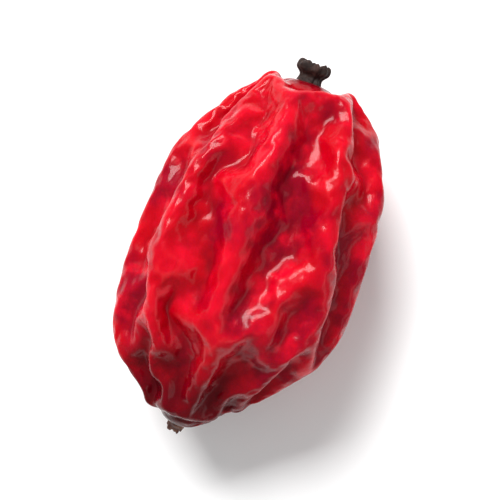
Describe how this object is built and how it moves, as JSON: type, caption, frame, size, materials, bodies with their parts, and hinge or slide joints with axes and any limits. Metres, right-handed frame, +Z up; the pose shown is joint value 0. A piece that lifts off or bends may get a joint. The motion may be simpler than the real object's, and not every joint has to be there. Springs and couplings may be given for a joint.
{
  "type": "dried barberry",
  "caption": "Single dried barberry lying on its side, with wrinkled glossy skin, a dark dried stigma on its tip and a short stub of stalk.",
  "frame": {"origin": "centre of the box's base, on the surface that the berry rests on", "axes": "+Y along the berry from its stalk end to its stigma end, +Z up"},
  "size_m": [0.0048, 0.0084, 0.0038],
  "materials": {
    "berry_skin": "glossy, wrinkled, slightly translucent",
    "dried_stigma": "matt, dry",
    "dried_stalk": "matt, fibrous"
  },
  "bodies": {
    "root": {"berry": "berry_skin", "stigma": "dried_stigma", "stalk_stub": "dried_stalk"}
  },
  "joints": []
}
